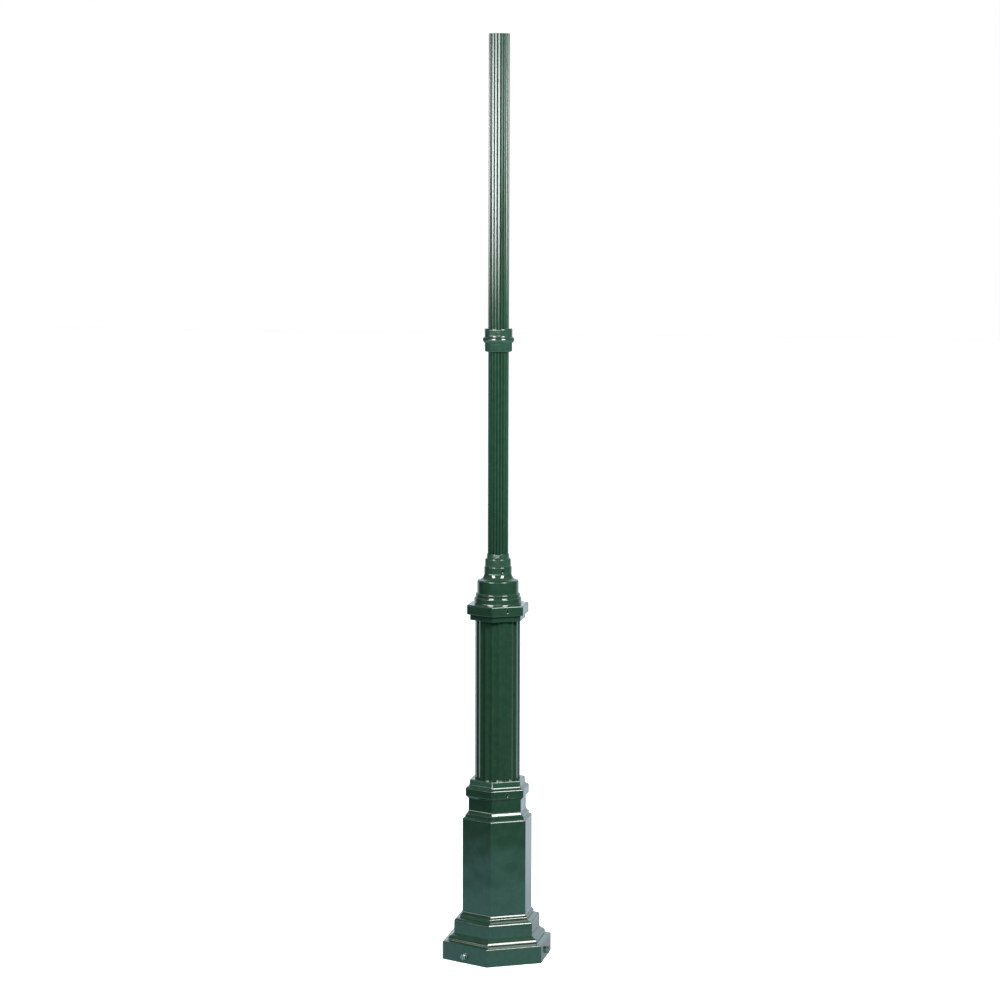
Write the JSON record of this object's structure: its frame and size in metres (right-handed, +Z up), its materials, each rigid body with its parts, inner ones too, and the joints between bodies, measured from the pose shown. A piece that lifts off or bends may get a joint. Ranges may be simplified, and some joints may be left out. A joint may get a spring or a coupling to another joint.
{
  "type": "street lamp post",
  "caption": "Dark green cast and extruded aluminium lamp post: hexagonal moulded base, fluted column, reducer and slim fluted tubes with a 60 mm top spigot.",
  "frame": {"origin": "on the post's axis, at the ground under the base casting", "axes": "+Z up along the post; a corner of the hexagonal castings points to -Y, the side seen in the picture; +X is the flat face a quarter turn to its right"},
  "size_m": [0.301, 0.3372, 2.68],
  "materials": {
    "green_paint": "gloss dark green powder coat with fine orange peel on cast and extruded aluminium",
    "weathered_steel": "dull, weathered steel of the foot bolts and their washers",
    "set_screw_steel": "dark stainless socket set screws",
    "galvanised_steel": "hot-dip galvanised, dull with spangle",
    "stainless_steel": "bare stainless",
    "bare_aluminium": "mill finish",
    "brass": "machined brass"
  },
  "bodies": {
    "root": {"base_casting": "green_paint", "foot_plate": "galvanised_steel", "lower_column": "green_paint", "reducer_casting": "green_paint", "lower_tube": "green_paint", "upper_tube": "green_paint", "joint_sleeve": "bare_aluminium", "joint_collar": "green_paint", "joint_screw_lower": "stainless_steel", "joint_screw_upper": "stainless_steel", "collar_set_screw": "set_screw_steel", "base_set_screw_1": "set_screw_steel", "base_set_screw_2": "set_screw_steel", "base_set_screw_3": "set_screw_steel", "flange_set_screw_1": "set_screw_steel", "flange_set_screw_2": "set_screw_steel", "flange_set_screw_3": "set_screw_steel", "neck_set_screw_1": "set_screw_steel", "neck_set_screw_2": "set_screw_steel", "neck_set_screw_3": "set_screw_steel", "foot_bolt_1": "weathered_steel", "foot_bolt_2": "weathered_steel", "foot_bolt_3": "weathered_steel", "foot_bolt_washer_1": "weathered_steel", "foot_bolt_washer_2": "weathered_steel", "foot_bolt_washer_3": "weathered_steel", "foot_bolt_nut_1": "galvanised_steel", "foot_bolt_nut_2": "galvanised_steel", "foot_bolt_nut_3": "galvanised_steel", "earth_stud": "brass", "earth_nut": "brass", "earth_washer": "brass", "earth_lock_nut": "brass"}
  },
  "joints": []
}
